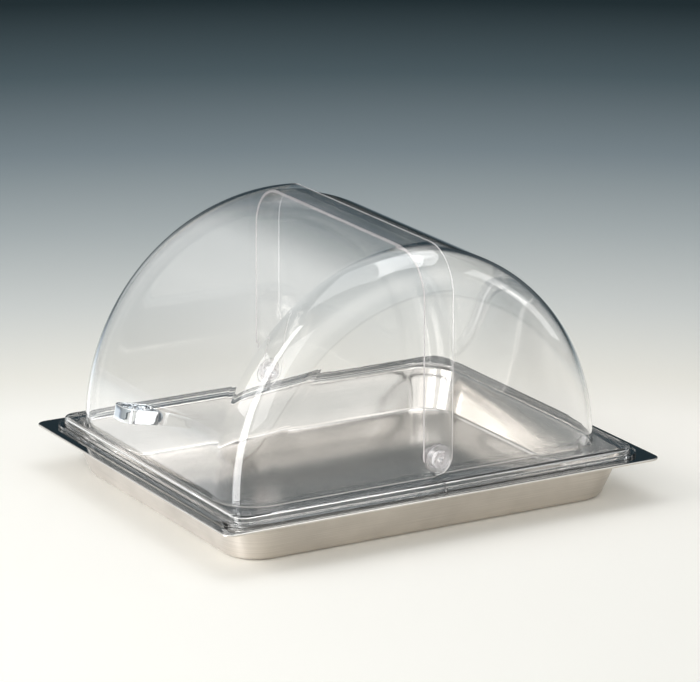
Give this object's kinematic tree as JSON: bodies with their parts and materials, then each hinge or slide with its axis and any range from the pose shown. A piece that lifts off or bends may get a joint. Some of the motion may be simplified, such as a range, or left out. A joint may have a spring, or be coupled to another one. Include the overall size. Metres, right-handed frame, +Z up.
{
  "type": "countertop bread display bin",
  "caption": "Rectangular steel tray under a clear vaulted cover in halves: the left one rolls up over the right one about pivots in the end walls, and has a chromed grip.",
  "frame": {"origin": "centre of the tray's length and width, on the surface that the tray stands on", "axes": "+X along the tray's long side towards the fixed half of the cover, +Y from the front end wall to the rear one, +Z up"},
  "size_m": [0.4497, 0.374, 0.251],
  "materials": {
    "brushed_stainless_steel": "satin sides, polished rim and inside",
    "clear_styrene_acrylonitrile": "clear, moulded, polished both sides",
    "chrome_plate": "mirror bright",
    "zinc_plated_steel": "bright zinc"
  },
  "bodies": {
    "tray": {"tray": "brushed_stainless_steel"},
    "fixed_cover": {"fixed_cover": "clear_styrene_acrylonitrile", "front_pivot_bush": "clear_styrene_acrylonitrile", "front_pivot_pin": "clear_styrene_acrylonitrile", "front_pivot_clip": "clear_styrene_acrylonitrile", "rear_pivot_bush": "clear_styrene_acrylonitrile", "rear_pivot_pin": "clear_styrene_acrylonitrile", "rear_pivot_clip": "clear_styrene_acrylonitrile"},
    "rolling_cover": {"rolling_cover": "clear_styrene_acrylonitrile", "grip_bow": "chrome_plate", "front_grip_washer": "zinc_plated_steel", "front_grip_screw": "zinc_plated_steel", "rear_grip_washer": "zinc_plated_steel", "rear_grip_screw": "zinc_plated_steel"}
  },
  "joints": [
    {"name": "cover_lift_off", "type": "slide", "parent": "tray", "child": "fixed_cover", "axis": [0, 0, 1], "range_m": [0, 0.15]},
    {"name": "cover_roll", "type": "hinge", "parent": "fixed_cover", "child": "rolling_cover", "pos_m": [0.0035, 0, 0.066], "axis": [0, 1, 0], "range_deg": [0, 80]}
  ]
}
